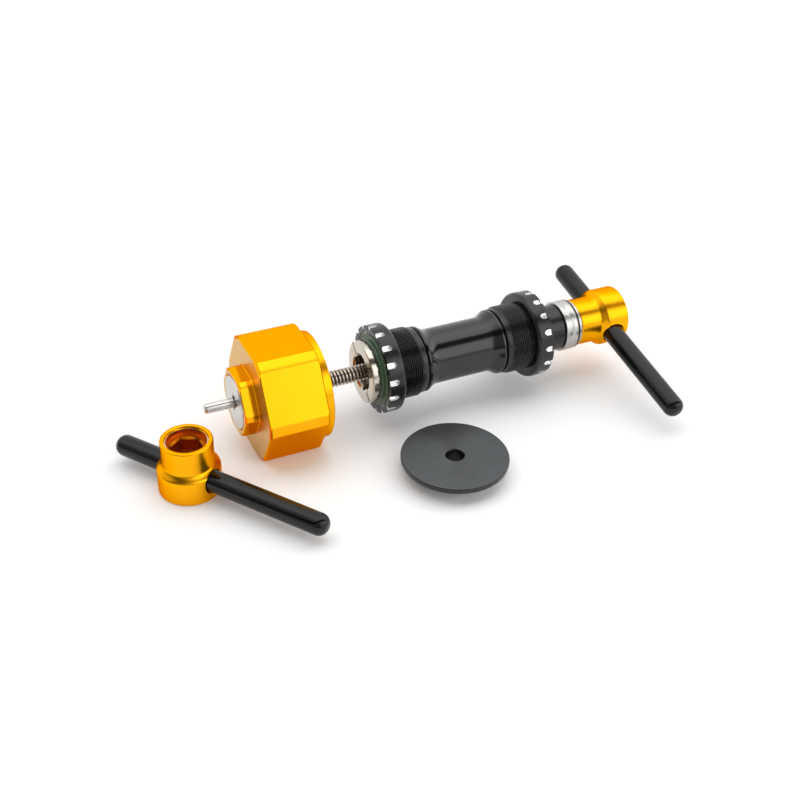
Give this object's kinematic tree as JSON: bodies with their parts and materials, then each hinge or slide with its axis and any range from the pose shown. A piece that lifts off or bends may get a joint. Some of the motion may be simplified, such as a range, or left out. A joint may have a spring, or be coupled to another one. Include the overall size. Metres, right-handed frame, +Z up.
{
  "type": "bottom bracket",
  "caption": "Threaded external-bearing bottom bracket strung on a screw-driven bearing press tool, with a hexagonal receiver, sliding T-bar handles and a guide disc.",
  "frame": {"origin": "on the surface the set stands on, under the middle of the receiver's lower flat", "axes": "+X along the draw screw, from the receiver towards the mounted handle; +Z up"},
  "size_m": [0.2658, 0.1216, 0.055],
  "materials": {
    "gold_anodised": "polished gold anodising",
    "black_anodised": "satin black anodising",
    "bar_black": "polished black anodising",
    "disc_black": "turned, dark grey anodising",
    "sleeve_plastic": "glossy black moulded plastic",
    "cover_green": "dark green moulded plastic",
    "turned_steel": "fine turned steel",
    "screw_steel": "rolled thread, lightly oiled",
    "nickel": "bright nickel plate",
    "dark_steel": "blackened steel",
    "bearing_steel": "ground bearing steel",
    "cage_nylon": "natural nylon",
    "bronze": "turned bronze",
    "spring_steel": "spring steel",
    "rubber": "black nitrile rubber"
  },
  "bodies": {
    "bracket": {"center_sleeve": "sleeve_plastic", "sleeve_o_rings": "rubber", "right_cup": "black_anodised", "left_cup": "black_anodised", "right_outer_race": "bearing_steel", "left_outer_race": "bearing_steel", "right_bearing_seals": "rubber", "left_bearing_seals": "rubber", "right_guide": "black_anodised", "thrust_housing": "turned_steel", "collet_nut": "dark_steel"},
    "left_spinner": {"left_inner_race": "bearing_steel", "left_dust_cover": "cover_green"},
    "right_spinner": {"right_inner_race": "bearing_steel", "right_dust_cover": "cover_green"},
    "left_ball_set": {"left_bearing_balls": "bearing_steel", "left_ball_cage": "cage_nylon"},
    "right_ball_set": {"right_bearing_balls": "bearing_steel", "right_ball_cage": "cage_nylon"},
    "collet_upper": {"collet_upper": "nickel"},
    "collet_lower": {"collet_lower": "nickel"},
    "receiver": {"receiver_body": "gold_anodised", "receiver_cap": "turned_steel", "receiver_snap_ring": "dark_steel", "receiver_bush": "bronze"},
    "screw": {"draw_screw": "screw_steel", "drive_hex": "dark_steel", "thrust_washer": "bearing_steel", "thrust_bush": "turned_steel", "thrust_seal": "rubber", "handle_hub": "gold_anodised", "handle_snap_ring": "spring_steel", "handle_grip_ring": "rubber"},
    "handle_bar": {"handle_bar": "bar_black"},
    "thrust_ball_set": {"thrust_balls": "bearing_steel", "thrust_cage": "bronze"},
    "spare_handle": {"spare_hub": "gold_anodised", "spare_snap_ring": "spring_steel", "spare_grip_ring": "rubber"},
    "spare_bar": {"spare_bar": "bar_black"},
    "guide_disc": {"guide_disc": "disc_black"}
  },
  "joints": [
    {"name": "left_bearing_spin", "type": "hinge", "parent": "bracket", "child": "left_spinner", "pos_m": [0.0531, 0, 0.0275], "axis": [1, 0, 0], "continuous": true},
    {"name": "right_bearing_spin", "type": "hinge", "parent": "bracket", "child": "right_spinner", "pos_m": [0.1351, 0, 0.0275], "axis": [1, 0, 0], "continuous": true},
    {"name": "left_balls_roll", "type": "hinge", "parent": "bracket", "child": "left_ball_set", "pos_m": [0.0531, 0, 0.0275], "axis": [1, 0, 0], "continuous": true},
    {"name": "right_balls_roll", "type": "hinge", "parent": "bracket", "child": "right_ball_set", "pos_m": [0.1351, 0, 0.0275], "axis": [1, 0, 0], "continuous": true},
    {"name": "collet_upper_close", "type": "slide", "parent": "bracket", "child": "collet_upper", "axis": [0, 0.7314, -0.682], "range_m": [0, 0.0006]},
    {"name": "collet_lower_close", "type": "slide", "parent": "bracket", "child": "collet_lower", "axis": [0, -0.7314, 0.682], "range_m": [0, 0.0006]},
    {"name": "receiver_travel", "type": "slide", "parent": "bracket", "child": "receiver", "axis": [1, 0, 0], "range_m": [0, 0.0378]},
    {"name": "screw_turn", "type": "hinge", "parent": "receiver", "child": "screw", "pos_m": [0.1, 0, 0.0275], "axis": [1, 0, 0], "range_deg": [0, 7560]},
    {"name": "handle_bar_slide", "type": "slide", "parent": "screw", "child": "handle_bar", "axis": [0, -0.981, -0.1942], "range_m": [-0.052, 0.018]},
    {"name": "thrust_balls_roll", "type": "hinge", "parent": "bracket", "child": "thrust_ball_set", "pos_m": [0.15613, 0, 0.0275], "axis": [1, 0, 0], "range_deg": [0, 3780]},
    {"name": "spare_handle_lift", "type": "slide", "parent": "bracket", "child": "spare_handle", "axis": [0, 0, 1], "range_m": [0, 0.08]},
    {"name": "spare_bar_slide", "type": "slide", "parent": "spare_handle", "child": "spare_bar", "axis": [0.5793, -0.8151, 0], "range_m": [-0.052, 0.018]},
    {"name": "guide_disc_lift", "type": "slide", "parent": "bracket", "child": "guide_disc", "axis": [0, 0, 1], "range_m": [0, 0.08]}
  ],
  "couplings": [
    {"joint": "left_balls_roll", "follows": "left_bearing_spin", "ratio": 0.44262},
    {"joint": "right_balls_roll", "follows": "right_bearing_spin", "ratio": 0.44262},
    {"joint": "collet_lower_close", "follows": "collet_upper_close", "ratio": 1},
    {"joint": "receiver_travel", "follows": "screw_turn", "m_per_rad": 0.00028648},
    {"joint": "thrust_balls_roll", "follows": "screw_turn", "ratio": 0.5}
  ]
}
